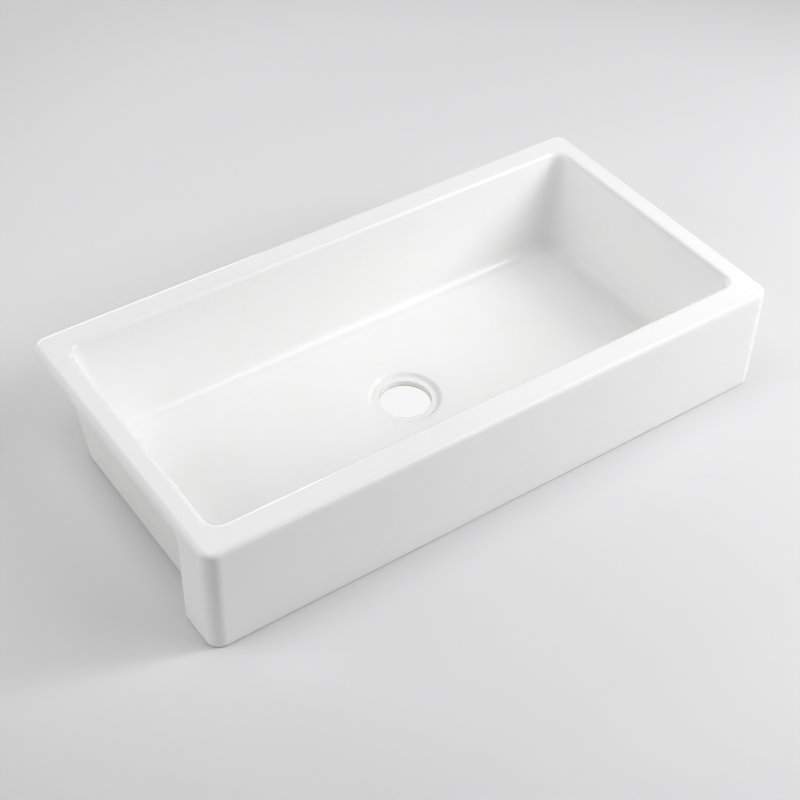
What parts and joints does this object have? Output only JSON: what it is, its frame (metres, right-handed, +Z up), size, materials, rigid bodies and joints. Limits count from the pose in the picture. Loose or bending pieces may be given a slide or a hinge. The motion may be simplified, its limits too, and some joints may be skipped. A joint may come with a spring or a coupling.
{
  "type": "farmhouse apron front sink",
  "caption": "Glazed fireclay kitchen sink with a deep rectangular bowl, an overhanging flat rim, a plain apron front with short returns, and a recessed open drain hole.",
  "frame": {"origin": "on the surface the sink stands on, under the middle of its outline", "axes": "+X along the sink's length to its right end, -Y the way the apron faces, +Z up out of the bowl"},
  "size_m": [1.067, 0.554, 0.199],
  "materials": {
    "white_glaze": "gloss",
    "bare_clay": "matte"
  },
  "bodies": {
    "root": {"basin": "white_glaze", "rim_flange": "white_glaze", "apron": "white_glaze", "apron_web_left": "bare_clay", "apron_web_centre": "bare_clay", "apron_web_right": "bare_clay"}
  },
  "joints": []
}
